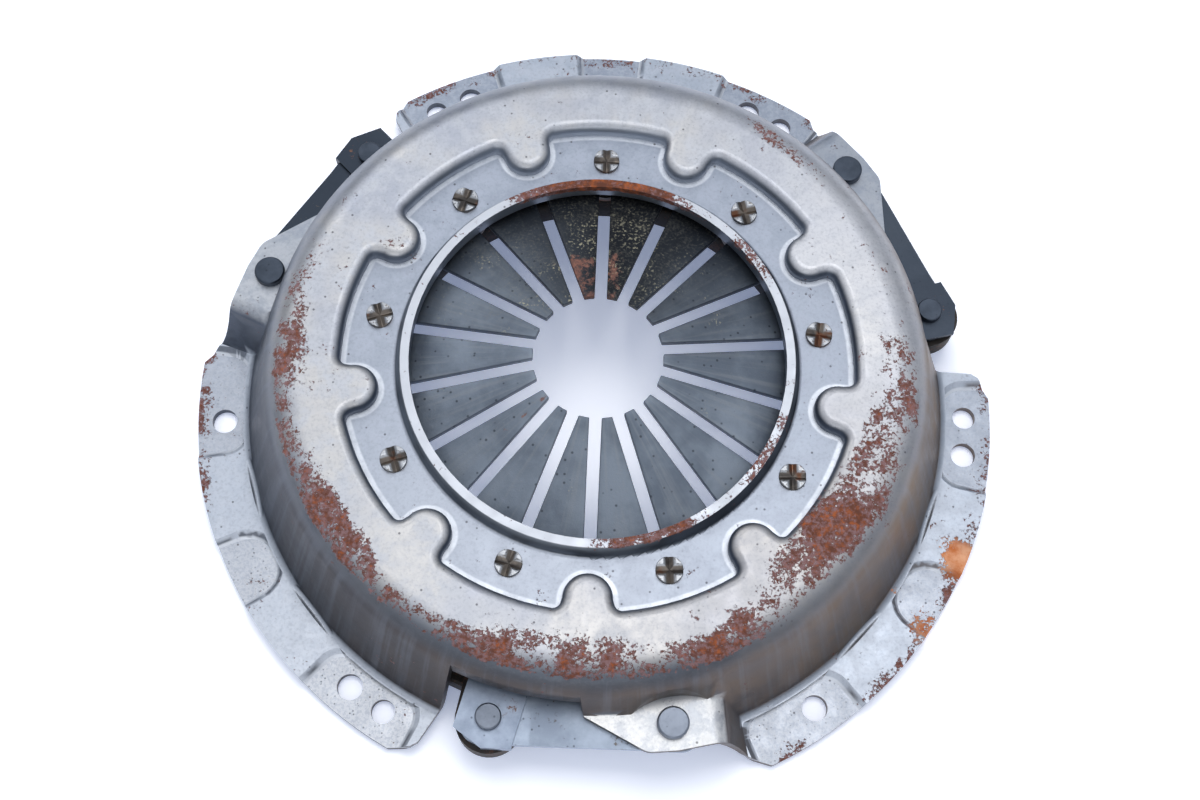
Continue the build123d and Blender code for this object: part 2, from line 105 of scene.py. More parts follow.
def add(tree, kind, settings=None, **inputs):
    """Adds a node. Its inputs are values or sockets, called by name or i_NUMBER."""
    node = tree.nodes.new(kind)
    for name, value in (settings or {}).items():
        setattr(node, name, value)
    for name, value in inputs.items():
        socket = node.inputs[int(name[2:])] if name.startswith("i_") else node.inputs[name]
        if isinstance(value, bpy.types.NodeSocket):
            tree.links.new(value, socket)
        else:
            socket.default_value = value
    return node


def maths(tree, operation, a, b=0.0, c=0.0, clamp=False):
    """One sum on numbers or sockets."""
    settings = {"operation": operation, "use_clamp": clamp}
    return add(tree, "ShaderNodeMath", settings, i_0=a, i_1=b, i_2=c).outputs[0]


def product(tree, first, *others):
    """All the shares multiplied together: a place is dirty only where each of them is."""
    for other in others:
        first = maths(tree, "MULTIPLY", first, other)
    return first


def total(tree, first, *others):
    """All the values added together."""
    for other in others:
        first = maths(tree, "ADD", first, other)
    return first


def centred(tree, value, swing):
    """A pattern from 0 to 1, made to swing round 0."""
    return maths(tree, "MULTIPLY_ADD", value, swing, -swing/2)


def ramp(tree, value, low, high, start=0.0, end=1.0):
    """Smooth step of a value from low to high. Where low is above high, it runs down."""
    if low > high:
        low, high, start, end = high, low, end, start
    settings = {"interpolation_type": "SMOOTHSTEP"}
    node = add(tree, "ShaderNodeMapRange", settings, Value=value,
               i_1=low, i_2=high, i_3=start, i_4=end)
    return node.outputs[0]


def tint(tree, share, a, b):
    """Colour a where share is 0 and colour b where it is 1. Hex text or sockets."""
    a, b = (linear(c) if isinstance(c, str) else c for c in (a, b))
    return add(tree, "ShaderNodeMix", {"data_type": "RGBA"}, i_0=share, i_6=a, i_7=b).outputs[2]


def layered(tree, base, layers):
    """A colour under layers of others, each given as its share and its colour, lowest first."""
    for share, colour in layers:
        base = tint(tree, share, base, colour)
    return base


def noise(tree, where, size_mm, detail=4.0, roughness=0.55):
    """Cloudy pattern whose patches are about size_mm across, with finer ones inside them."""
    return add(tree, "ShaderNodeTexNoise", None, Vector=where, Scale=1000/size_mm, Detail=detail,
               Roughness=roughness).outputs["Fac"]


def dots(tree, where, spacing_mm, dot_mm, kept):
    """Round dots: near the centres of scattered cells, in a share of the cells."""
    cell = add(tree, "ShaderNodeTexVoronoi", None, Vector=where, Scale=1000/spacing_mm)
    near = ramp(tree, cell.outputs["Distance"], dot_mm/spacing_mm, 0.4*dot_mm/spacing_mm)
    chosen = add(tree, "ShaderNodeSeparateColor", None, Color=cell.outputs["Color"]).outputs[0]
    return product(tree, near, maths(tree, "LESS_THAN", chosen, kept))


def new_material(name):
    """An empty material, with its tree, its shader, and the places and directions of its points."""
    material = bpy.data.materials.new(name)
    material.use_nodes = True
    tree = material.node_tree
    points = add(tree, "ShaderNodeTexCoord").outputs
    return material, tree, tree.nodes["Principled BSDF"], points["Object"], points["Normal"]


def finish_with(tree, shader, colour, metal, rough, height, height_mm):
    """Joins the answers to the shader: colour, share of bare metal, roughness and relief."""
    tree.links.new(colour, shader.inputs["Base Color"])
    if metal is not None:
        tree.links.new(metal, shader.inputs["Metallic"])
    tree.links.new(rough, shader.inputs["Roughness"])
    relief = add(tree, "ShaderNodeBump", None, Distance=height_mm*MM, Height=height)
    tree.links.new(relief.outputs[0], shader.inputs["Normal"])


print("helpers ready")

# %% [markdown]
# ## Studio
# Bare steel shows what stands around it, so the studio matters as much as the finish. The room is
# a light tent, slightly cool and dim towards the floor, which is what leaves the crown pale and
# its shoulders and walls dark. The main lamp hangs overhead, a little to the right and behind, so
# the near and the right side mirror it and the far side doesn't. A lamp behind lights the paper
# through the hole, so the near part of the paper is bright there and the far part lies in the
# shadow of the lip. A low lamp in front puts the bright band on the near shoulder.
# The floor is white paper. A little of its white is added by Light Path for what the camera and
# reflections see, and the rest is lit paper, which keeps the part's shadow.

# %% Floor, room and lamps
FLOOR_HALF, FLOOR_GAP, PAPER_GLOW = 30.0, 0.3*MM, 0.35
TENT_RISE, SKIRTING = (0.05, 0.62), (0.07, 0.04)      # heights of a direction, 1 is overhead
TENT_STRENGTH = 0.95

floor_mesh = bpy.data.meshes.new("floor")
corners = [(-FLOOR_HALF, -FLOOR_HALF), (FLOOR_HALF, -FLOOR_HALF), (FLOOR_HALF, FLOOR_HALF),
           (-FLOOR_HALF, FLOOR_HALF)]
floor_mesh.from_pydata([(x, y, -FLOOR_GAP) for x, y in corners], [], [(0, 1, 2, 3)])
floor = bpy.data.objects.new("floor", floor_mesh)
scene.collection.objects.link(floor)

paper, tree, shader, *_ = new_material("white_paper_floor")
shader.inputs["Base Color"].default_value = linear("fcfbf9")
shader.inputs["Roughness"].default_value = 0.9
rays = add(tree, "ShaderNodeLightPath").outputs
seen = maths(tree, "ADD", rays["Is Camera Ray"], rays["Is Glossy Ray"])
seen = maths(tree, "ADD", seen, rays["Is Transmission Ray"], clamp=True)
strength = product(tree, seen, PAPER_GLOW)
glow = add(tree, "ShaderNodeEmission", None, Color=linear("bccdf6"), Strength=strength)
both = add(tree, "ShaderNodeAddShader", None, i_0=shader.outputs[0], i_1=glow.outputs[0])
tree.links.new(both.outputs[0], tree.nodes["Material Output"].inputs["Surface"])
floor_mesh.materials.append(paper)

room = bpy.data.worlds.new("light_tent")
room.use_nodes = True
scene.world = room
tree = room.node_tree
direction = add(tree, "ShaderNodeTexCoord").outputs["Generated"]
height = add(tree, "ShaderNodeSeparateXYZ", None, Vector=direction).outputs[2]
tent = layered(tree, "697079", [
    (ramp(tree, height, *TENT_RISE), "e0e4ec"),
    (ramp(tree, height, *SKIRTING), "f4f6fa")])      # hides the edge of the floor
tree.links.new(tent, tree.nodes["Background"].inputs["Color"])
tree.nodes["Background"].inputs["Strength"].default_value = TENT_STRENGTH


def soft_box(name, azimuth, elevation, width, depth, radiance, distance=1.4):
    """A rectangular lamp that faces the part. Watts = radiance x pi x area."""
    lamp = bpy.data.lights.new(name, "AREA")
    lamp.shape = "RECTANGLE"
    lamp.size, lamp.size_y, lamp.energy = width, depth, radiance*pi*width*depth
    az, el = radians(azimuth), radians(elevation)
    toward = Vector((sin(az)*cos(el), -cos(az)*cos(el), sin(el)))
    box = bpy.data.objects.new(name, lamp)
    box.location = toward*distance
    box.rotation_euler = toward.to_track_quat("Z", "Y").to_euler()
    scene.collection.objects.link(box)
    return box


overhead = soft_box("overhead", 138, 80, 0.7, 0.7, 2.0, 1.3)
overhead.visible_diffuse = False             # seen in the steel only
through_the_hole = soft_box("through_the_hole", 176, 74, 0.7, 0.7, 6.5)
through_the_hole.visible_glossy = False      # falls on paper and rust only
soft_box("back_left", 215, 42, 0.9, 0.6, 1.2)
soft_box("front_low", -6, 28, 1.1, 0.35, 1.7)
print("studio lit, and its floor reaches", round(FLOOR_HALF), "m each way")

# %% [markdown]
# ## Cover steel
# The cover is deep-drawn low-carbon sheet, never painted. The crown is smooth and milky grey with
# a beige film of old oil, a painted reflection of the main lamp on its right and painted shade on
# its shoulder. The side wall and every steep place are painted a darker blue-grey, as painted
# shade, with a brown film on part of the wall. The foot of each step has a painted highlight, and
# the pads that were bolted to the flywheel are frosted and pitted. Wear and painted highlight
# brighten the flange, pads and ears on the near side. All of this follows the form, so the masks
# are made from the height, the distance from the axis and the direction that the surface faces.

# %% Places on the cover, as patterns see them
STREAK_R = 0.1      # metres: streaks are as wide as if they all ran at this distance from the axis


def ring_of_values(tree, turn_share, values):
    """A value from 0 to 1 that changes round the axis: degrees anticlockwise from +X, value."""
    node = add(tree, "ShaderNodeFloatCurve", None, Factor=1.0, Value=turn_share)
    curve = node.mapping.curves[0]
    pairs = sorted(((angle + 180) % 360/360, value) for angle, value in values)
    first, last = pairs[0], pairs[-1]
    seam = first[1] + (last[1] - first[1])*first[0]/(first[0] + 1 - last[0])
    pairs = [(0.0, seam), *pairs, (1.0, seam)]
    while len(curve.points) < len(pairs):
        curve.points.new(0.5, 0.5)
    for point, pair in zip(curve.points, pairs):
        point.location = pair
        point.handle_type = "VECTOR"
    node.mapping.update()
    return node.outputs[0]


def round_axis(tree, spot):
    """Height, distance from the axis, and turn: 0 to 1 anticlockwise from -X."""
    x, y, z = add(tree, "ShaderNodeSeparateXYZ", None, Vector=spot).outputs
    squares = total(tree, product(tree, x, x), product(tree, y, y))
    turn = maths(tree, "MULTIPLY_ADD", maths(tree, "ARCTAN2", y, x), 0.5/pi, 0.5)
    return z, maths(tree, "SQRT", squares), turn


def drawn_lines(tree, spot, radius, size_mm, stretch):
    """Streaks that run out from the axis: noise on the direction and on a shortened radius."""
    x, y, _ = add(tree, "ShaderNodeSeparateXYZ", None, Vector=spot).outputs
    east, north = (product(tree, maths(tree, "DIVIDE", v, radius), STREAK_R) for v in (x, y))
    pressed = product(tree, radius, stretch)
    where = add(tree, "ShaderNodeCombineXYZ", None, X=east, Y=north, Z=pressed)
    return noise(tree, where.outputs[0], size_mm, 5, 0.6)


print("patterns can follow the axis")

# %% Masks that follow the form
# Bands in metres: where a mask begins, and where it has its full strength.
R_FLANGE, R_RECESS, R_BEYOND_LIP = (0.110, 0.116), (0.0885, 0.0865), (0.0672, 0.0682)
R_SHOULDER, R_WALL_SHADE = (0.1010, 0.1075), (0.1275, 0.1170)
R_LIP_FACE, R_LIP_WALL = (0.0660, 0.0656), (0.0688, 0.0680)
Z_PADS, Z_ABOVE_PADS, Z_PAD_FOOT = (0.0046, 0.0036), (0.003102, 0.00313), (0.0046, 0.0039)
Z_SUNK, Z_LIP_WALL, Z_UPPER_WALL = (0.0418, 0.0412), (0.0408, 0.0413), (0.030, 0.040)
Z_EARS_FROM, Z_EARS_TO = (0.0225, 0.0245), (0.0275, 0.0268)
RINGS = {  # degrees anticlockwise from +X, and how much
    "mirrors the main lamp": [(-25, 0.0), (0, 0.4), (35, 0.45), (60, 0.15), (90, 0.0), (180, 0.0)],
    "beige film of oil": [(-110, 0.1), (-60, 0.45), (-25, 0.45), (5, 0.1), (90, 0.0), (180, 0.0)],
    # painted shade on the crown's shoulder, strongest at the near side
    "dark shoulder": [(-140, 0.7), (-110, 1.0), (-70, 1.0), (-50, 0.6), (-20, 0.3), (20, 0.2),
                      (60, 0.3), (90, 0.5), (120, 0.5), (180, 0.35)],
    # wear, and painted highlight of the lamps, strongest on the near side
    "worn bright": [(-60, 0.65), (-30, 0.5), (0, 0.3), (25, 0.3), (60, 0.1), (110, 0.05),
                    (160, 0.3), (-160, 0.6), (-135, 1.0), (-95, 1.0)],
    "brown film on the wall": [(0, 1.0), (-45, 0.95), (-90, 0.5), (-130, 0.25), (180, 0.0),
                               (90, 0.1), (45, 0.5)],
    # painted shade on the wall, strongest at the near left
    "dark scale on the wall": [(-160, 0.3), (-140, 0.8), (-110, 0.8), (-90, 0.5), (-60, 0.15),
                               (0, 0.0), (90, 0.0), (170, 0.1)],
    # less painted shade on the walls at the back
    "rubbed upper wall": [(90, 0.6), (50, 0.3), (15, 0.0), (-90, 0.0), (180, 0.0), (130, 0.4)],
    # less painted shade on the outer wall of the lip, most on the left
    "hazy wall of the lip": [(180, 0.9), (-135, 0.6), (-90, 0.3), (-45, 0.1), (0, 0.2), (90, 0.3)]}

cover_steel, tree, shader, spot, facing = new_material("pressed_cover_steel")
height, radius, turn_share = round_axis(tree, spot)
upward = add(tree, "ShaderNodeSeparateXYZ", None, Vector=facing).outputs[2]
painted_lamp_reflection, oiled, painted_shoulder_shade, wear_and_painted_highlight, brown, shaded, lightened, less_lip_shade = (
    ring_of_values(tree, turn_share, values) for values in RINGS.values())
outside = ramp(tree, radius, *R_FLANGE)
inside = ramp(tree, radius, *R_RECESS)
low = product(tree, ramp(tree, height, *Z_PADS), outside)
sunk = product(tree, inside, ramp(tree, height, *Z_SUNK), ramp(tree, radius, *R_BEYOND_LIP))
ears = product(tree, outside, ramp(tree, height, *Z_EARS_FROM), ramp(tree, height, *Z_EARS_TO))
print("masks for flange, pads, floor and ears, and", len(RINGS), "rings")

# %% Level surfaces: crown, flange, pads, ears and floor of the recess
cloud = noise(tree, spot, 40, 3)
mottle = noise(tree, spot, 7, 6, 0.65)
fine = noise(tree, spot, 1.0, 3, 0.6)
lines = drawn_lines(tree, spot, radius, 3, 0.10)
bead = noise(tree, spot, 2.2, 5, 0.7)

crown = layered(tree, "b0b4be", [
    (ramp(tree, cloud, 0.40, 0.62), "c8c7c6"),
    (ramp(tree, mottle, 0.38, 0.68), "c5c8ce"),
    # painted reflection of the main lamp, on the right of the crown
    (painted_lamp_reflection, "e6e6e8"),
    (oiled, "b5afaa"),
    (product(tree, ramp(tree, lines, 0.40, 0.68), 0.12), "9aa0ab"),      # lines of the drawing die
    (product(tree, ramp(tree, bead, 0.55, 0.75), 0.30), "868a94"),      # orange peel of drawn sheet
    # painted shade on the shoulder of the crown
    (product(tree, painted_shoulder_shade, ramp(tree, radius, *R_SHOULDER)), "5f656e")])
floor_tone = layered(tree, "98a0ad", [
    (ramp(tree, mottle, 0.35, 0.65), "abb2bf"),
    (product(tree, wear_and_painted_highlight, 0.35), "cbcfd6"),
    (product(tree, ramp(tree, bead, 0.55, 0.75), 0.25), "8a909c")])
flange = layered(tree, "a9b2bf", [
    (ramp(tree, mottle, 0.35, 0.65), "b8bfca"),
    (product(tree, wear_and_painted_highlight, ramp(tree, bead, 0.30, 0.60, 0.5, 0.9)), "cdd2da"),
    # painted shade on the flange next to the wall
    (ramp(tree, radius, *R_WALL_SHADE, 0.0, 0.8), "4f5864")])
pads = layered(tree, "919aa9", [
    (ramp(tree, bead, 0.35, 0.65), "a3abb8"),
    # the pads are frosted by wear, with painted highlight on the near side
    (product(tree, wear_and_painted_highlight, ramp(tree, fine, 0.40, 0.60, 0.50, 1.0)), "d9dbdf"),
    (product(tree, wear_and_painted_highlight, dots(tree, spot, 1.3, 0.4, 0.35)), "7b7f87")])
# painted highlight: the ears turn near white on the near side
ear_painted_highlight = tint(tree, ramp(tree, mottle, 0.38, 0.58), "c3c5c8", "f6f5f2")
flat = layered(tree, crown, [
    (outside, flange),
    (ears, "8a93a1"),
    (product(tree, ears, wear_and_painted_highlight), ear_painted_highlight),
    (sunk, floor_tone),
    (low, pads),
    (product(tree, ramp(tree, fine, 0.45, 0.70), 0.22), "7f8590")])
print("level steel ready")

# %% Steep surfaces: painted shade on the walls, and the lip
# painted shade: the steeper a place, the more of the darker wall colour it takes
steep = ramp(tree, upward, 0.90, 0.45)
film = product(tree, brown, ramp(tree, noise(tree, spot, 14, 5, 0.6), 0.25, 0.80, 0.4, 0.9))
painted_wall_shade_and_film = layered(tree, "474d57", [
    (ramp(tree, mottle, 0.35, 0.65), "575e6a"),
    (shaded, "2f353e"),
    (product(tree, lightened, ramp(tree, height, *Z_UPPER_WALL)), "a3abb9"),
    (film, "7c6751"),
    (product(tree, ramp(tree, lines, 0.45, 0.65), 0.2), "7f8894"),
    # the walls of the recess get a lighter painted shade, lightest at the back
    (inside, tint(tree, lightened, "5c6471", "c9d0da"))])
lip_face = product(tree, ramp(tree, radius, *R_LIP_FACE), ramp(tree, upward, 0.5, 0.9))
lip_wall = product(tree, ramp(tree, radius, *R_LIP_FACE[::-1]), ramp(tree, radius, *R_LIP_WALL),
                   ramp(tree, height, *Z_LIP_WALL))
steel = layered(tree, flat, [
    (steep, painted_wall_shade_and_film),
    (lip_face, "c6cad1"),
    # painted shade on the outer wall of the lip, paler on the left
    (lip_wall, tint(tree, less_lip_shade, "3d434c", "98a0aa"))])
print("steep steel ready")

# %% [markdown]
# ## The painted highlight at the foot of each step
# A painted highlight, a line of bright steel, runs round the floor of the recess where the wall
# rises
# from it, and round the foot of each pad. It needs the distance to that wall, which has a formula:
# nine tongues, each a strip with a round end that grows wider outwards, stand in from a circle.

# %% Distance to the wall of the recess, and the painted highlight at its foot
TONGUES, TONGUE_SHIFT = 9, 0.2225      # the shift puts one at 71.1 degrees
TONGUE_MIDDLE, TONGUE_HALF, TONGUE_FLARE, LOBE_R = 81.6, 8.1, 0.15, 85.9      # mm
FOOT_MM = (2.2, 1.4)

folded = maths(tree, "FRACT", maths(tree, "MULTIPLY_ADD", turn_share, TONGUES, TONGUE_SHIFT))
bearing = product(tree, maths(tree, "SUBTRACT", folded, 0.5), 2*pi/TONGUES)
out = product(tree, radius, maths(tree, "COSINE", bearing))
out = maths(tree, "MULTIPLY_ADD", out, 1/MM, -TONGUE_MIDDLE)
aside = maths(tree, "DIVIDE", product(tree, radius, maths(tree, "SINE", bearing)), MM)
before = maths(tree, "MINIMUM", out, 0.0)
squares = total(tree, product(tree, before, before), product(tree, aside, aside))
to_strip = maths(tree, "SUBTRACT", maths(tree, "SQRT", squares), TONGUE_HALF)
wider = product(tree, maths(tree, "MAXIMUM", out, 0.0), TONGUE_FLARE)
to_tongue = maths(tree, "SUBTRACT", to_strip, wider)
to_circle = maths(tree, "MULTIPLY_ADD", radius, -1/MM, LOBE_R)
to_wall = maths(tree, "MINIMUM", to_tongue, to_circle)
painted_foot_highlight = product(tree, sunk, ramp(tree, to_wall, *FOOT_MM), ramp(tree, upward, 0.55, 0.85),
               ramp(tree, bead, 0.3, 0.6, 0.6, 1.0))
painted_pad_foot_highlight = product(tree, outside, ramp(tree, height, *Z_PAD_FOOT),
                   ramp(tree, height, *Z_ABOVE_PADS), ramp(tree, upward, -0.5, -0.1))
painted_highlights = maths(tree, "ADD", painted_foot_highlight, painted_pad_foot_highlight, clamp=True)
pits = product(tree, dots(tree, spot, 3.0, 0.55, 0.25), ramp(tree, upward, 0.7, 0.9))
# painted highlight at the foot of each step, then dark pits
steel = layered(tree, steel, [
    (product(tree, painted_highlights, 0.65), "e9edf3"),
    (product(tree, pits, 0.75), "4c4c52")])
print("bare steel ready")

# %% [markdown]
# ## Rust
# Rust on bare steel grows in speckled islands with ragged, branching edges: thin and purple-brown
# where it is young, thick and orange where it has stood longest. It can't be a plain noise all
# over, because it starts where the oil was wiped off. So its place is drawn as a ring round the
# crown with a middle, a width and an amount for each direction, and noise eats into that ring.

# %% Rust on the crown, the lip and the rim
CROWN_RUST = [  # degrees anticlockwise from +X, middle mm, half-width mm, amount
    (5, 100, 6, 0.42), (-5, 101, 7, 0.52), (-15, 98, 8, 0.50), (-25, 98, 9, 0.62),
    (-36, 94, 10, 0.88), (-46, 96, 8, 0.70), (-54, 100, 7, 0.46), (-66, 106, 6, 0.74),
    (-78, 104, 7, 0.52), (-88, 102, 9, 0.56), (-98, 103, 8, 0.62), (-108, 104, 6, 0.58),
    (-118, 106, 5, 0.42), (-128, 107, 6, 0.62), (-136, 104, 8, 0.74), (-148, 105, 9, 0.66),
    (-158, 107, 7, 0.62), (-168, 107, 5, 0.42), (-176, 103, 7, 0.52), (172, 103, 5, 0.42),
    (160, 104, 3, 0.25), (140, 104, 3, 0.0), (70, 104, 3, 0.0), (60, 104, 3, 0.30),
    (54, 103, 3, 0.52), (46, 102, 3, 0.30), (36, 100, 3, 0.10), (15, 100, 4, 0.22)]
LIP_RUST = [(20, 0.0), (34, 0.7), (44, 0.6), (52, 0.1), (62, 0.35), (70, 0.9), (90, 1.0),
            (118, 0.85), (126, 0.1), (150, 0.0), (-96, 0.0), (-84, 0.45), (-70, 0.7), (-58, 0.5),
            (-46, 0.1), (-36, 0.5), (-24, 0.6), (-12, 0.1)]
RIM_RUST = [(-30, 0.4), (-37, 0.6), (-44, 0.3), (-54, 0.1), (-60, 0.5), (-75, 0.0), (-150, 0.1),
            (-165, 0.6), (170, 0.5), (160, 0.1), (132, 0.6), (100, 0.35), (60, 0.35), (52, 0.7),
            (30, 0.1), (0, 0.4), (-15, 0.3)]
CLAY = [(-18.5, 0.0), (-20, 0.95), (-23.5, 0.95), (-25, 0.0), (-29, 0.0), (-31, 0.65),
        (-34, 0.65), (-36, 0.0), (90, 0.0)]      # the two thick orange patches on the rim
RING_FROM, RING_SPAN = 80, 40      # mm: the curves hold 0 to 1, for 80 to 120 mm
RUST_FROM = 0.47                   # amount and noise together, where rust shows
Z_CROWN, Z_FLANGE = (0.0425, 0.0440), (0.011, 0.010)
R_LIP_RUST, R_RIM_RUST, R_CLAY = (0.0664, 0.0656), (0.1330, 0.1405), (0.1290, 0.1360)


def rust_ring(column, to_share=lambda value: value):
    """One column of the table as a ring of values from 0 to 1."""
    values = [(row[0], to_share(row[column])) for row in CROWN_RUST]
    return ring_of_values(tree, turn_share, values)


middle = rust_ring(1, lambda mm: (mm - RING_FROM)/RING_SPAN)
half_width = rust_ring(2, lambda mm: mm/RING_SPAN)
amount = rust_ring(3)
along = maths(tree, "MULTIPLY_ADD", radius, 1/(RING_SPAN*MM), -RING_FROM/RING_SPAN)
from_middle = maths(tree, "ABSOLUTE", maths(tree, "SUBTRACT", along, middle))
away = maths(tree, "DIVIDE", from_middle, half_width)
on_top, on_flange = ramp(tree, height, *Z_CROWN), ramp(tree, height, *Z_FLANGE)
lip_ring, rim_ring, clay_ring = (
    ring_of_values(tree, turn_share, values) for values in (LIP_RUST, RIM_RUST, CLAY))
on_crown = product(tree, amount, ramp(tree, away, 1.5, 0.5), on_top)
on_lip = product(tree, lip_ring, ramp(tree, radius, *R_LIP_RUST), on_top)
clay = product(tree, clay_ring, on_flange)
on_rim = product(tree, rim_ring, ramp(tree, radius, *R_RIM_RUST), on_flange)
patches = product(tree, clay, ramp(tree, radius, *R_CLAY, 0.0, 1.2))
on_rim = maths(tree, "MAXIMUM", on_rim, patches)
print("rust in", len(CROWN_RUST), "directions round the crown")

# %% Ragged edges, colours and surface of the rust
islands = centred(tree, noise(tree, spot, 13, 3, 0.6), 1.3)
branches = centred(tree, noise(tree, spot, 4.0, 9, 0.80), 2.3)
branches = total(tree, branches, centred(tree, fine, 0.6))
started = total(tree, on_crown, on_lip, on_rim)
reach = total(tree, started, total(tree, islands, branches))
rust = ramp(tree, reach, RUST_FROM, RUST_FROM + 0.06)
deep = ramp(tree, reach, RUST_FROM + 0.20, RUST_FROM + 0.55)
young = tint(tree, ramp(tree, noise(tree, spot, 1.6, 4, 0.6), 0.40, 0.62), "7d6061", "5f3b32")
old = tint(tree, ramp(tree, noise(tree, spot, 2.6, 5, 0.6), 0.42, 0.68), "583122", "964f27")
thick = tint(tree, ramp(tree, mottle, 0.35, 0.65), "c06c35", "e0a883")
steel = tint(tree, rust, steel, tint(tree, clay, tint(tree, deep, young, old), thick))
metal = maths(tree, "MULTIPLY_ADD", rust, -0.95, 1.0, clamp=True)
satin = ramp(tree, mottle, 0.3, 0.7, 0.38, 0.52)
rough = maths(tree, "MULTIPLY_ADD", rust, 0.4, satin, clamp=True)
relief = maths(tree, "MULTIPLY_ADD", fine, 0.3, product(tree, rust, 0.7))
dented = product(tree, outside, noise(tree, spot, 18, 2))
relief = maths(tree, "MULTIPLY_ADD", dented, 5.0, relief)
finish_with(tree, shader, steel, metal, rough, relief, 0.08)
print("rust ready")

# %% [markdown]
# ## Spring, straps, rivets and iron
# The spring is hardened and blued, and dust has settled on it. The straps and clips are rolled
# strip. The rivets of the straps are phosphated nearly black, and the plate is grey iron with a
# brown skin. All but the spring share one recipe, two tones of worn metal under loose patches of
# dust or rust, with their own colours and sizes.

# %% One recipe for worn metals
# painted shade round the axis: straps and clips are painted darker at the back and the sides
PAINTED_STRAP_SHADE = [(-90, 0.0), (-45, 0.2), (15, 0.95), (45, 0.95), (90, 0.6), (135, 1.0), (165, 1.0),
          (-150, 0.4)]      # darker straps at the back and the sides


def worn_metal(name, dark, light, dirt, dirty, roughness, metallic=1.0, painted_shade_ring=()):
    """Cloudy metal between two tones, with dirt that lies on it in ragged patches and specks."""
    material, tree, shader, spot, _ = new_material(name)
    fine = noise(tree, spot, 1.0, 4, 0.65)
    tone = layered(tree, dark, [
        (ramp(tree, noise(tree, spot, 20, 6, 0.62), 0.34, 0.66), light),
        (product(tree, dots(tree, spot, 2.4, 0.5, 0.3), 0.6), "33363c")])      # small dark pits
    # painted shade, darker in the directions the ring gives
    if painted_shade_ring:
        tone = tint(tree, ring_of_values(tree, round_axis(tree, spot)[2], painted_shade_ring), tone, "3a414b")
    grit = product(tree, fine, 0.3)
    lie = maths(tree, "MULTIPLY_ADD", noise(tree, spot, 8, 6, 0.7), 0.7, grit)
    share = ramp(tree, lie, 0.64 - 0.20*dirty, 0.74 - 0.20*dirty)
    colour = tint(tree, share, tone, dirt)
    metal = maths(tree, "MULTIPLY_ADD", share, -0.8*metallic, metallic, clamp=True)
    rough = maths(tree, "MULTIPLY_ADD", fine, 0.2, roughness - 0.1)
    finish_with(tree, shader, colour, metal, rough, fine, 0.04)
    return material


# Rolled strip: satin blue-grey in the light, with painted shade where it lies behind and at the
# sides.
strap_steel = worn_metal("rolled_strap_steel", "919cac", "aeb9c8", "5a5048", 0.2, 0.40,
                         painted_shade_ring=PAINTED_STRAP_SHADE)
clip_steel = worn_metal("rolled_clip_steel", "8590a1", "a9b4c5", "6e4a36", 0.2, 0.42,
                        painted_shade_ring=PAINTED_STRAP_SHADE)
# Drawn wire in the dark under the cover: dull, with some rust.
wire_steel = worn_metal("drawn_wire_steel", "4c5056", "666b72", "57443a", 0.4, 0.45)
# Phosphate: nearly black and even.
black_rivet = worn_metal("phosphated_rivet_steel", "3d444e", "525a66", "5a5048", 0.1, 0.42)
# Grey iron with a brown skin: matt, and half as metallic. Its tones are painted near black, for the
# deep shade under the cover.
iron_painted_dark = worn_metal("rusted_grey_iron", "262322", "3a3532", "54372a", 0.6, 0.65, 0.5)
# Two rivets in front have lost their phosphate and shine grey.
worn_rivet = worn_metal("worn_rivet_steel", "686f7a", "838a96", "5a5a60", 0.2, 0.38)
print("six worn metals ready")

# %% [markdown]
# ## Staked heads
# The head is darker in the chisel's grooves, with patches of bronze dirt, and lighter on the four
# corners that stand up. So this finish goes by height, over the last millimetre.

# %% Stud steel, bright on its corners
Z_HEAD = (0.04165, 0.04215)

stud_steel, tree, shader, spot, _ = new_material("tarnished_stud_steel")
height = round_axis(tree, spot)[0]
fine = noise(tree, spot, 0.8, 4, 0.6)
lightened = product(tree, ramp(tree, height, *Z_HEAD), ramp(tree, fine, 0.30, 0.50))
tone = layered(tree, "55514e", [
    (ramp(tree, noise(tree, spot, 5, 4), 0.40, 0.60), "787068"),
    (ramp(tree, noise(tree, spot, 9, 3), 0.56, 0.66), "71503f"),
    (lightened, "b4b7bb")])
shader.inputs["Metallic"].default_value = 1.0
finish_with(tree, shader, tone, None, ramp(tree, fine, 0.3, 0.7, 0.28, 0.42), fine, 0.04)
print("stud steel ready")

# %% [markdown]
# ## The spring's own finish
# Seen close, a blued spring is a dark slate grey with faint streaks along the fingers, and what
# lies on it is yellowish dust, thickest at the back, with two rusty patches near the tips there.

# %% Blued spring steel
SHADE = [(90, 1.0), (60, 0.90), (30, 0.35), (0, 0.05), (-90, 0.25), (180, 0.0), (150, 0.25),
         (120, 0.75)]      # the far fingers are darkest
DUST = [(90, 0.75), (60, 0.62), (40, 0.35), (0, 0.22), (-60, 0.12), (-110, 0.12), (180, 0.30),
        (140, 0.50), (115, 0.60)]
RUSTY_TIPS = [(72, 0.0), (78, 0.45), (84, 0.62), (90, 0.4), (96, 0.62), (106, 0.68), (114, 0.5),
              (122, 0.0), (150, 0.0), (-140, 0.0), (-137, 0.6), (-134, 0.0), (0, 0.0), (40, 0.0)]
R_GRAINS, R_TIPS = (0.062, 0.046), (0.046, 0.036)

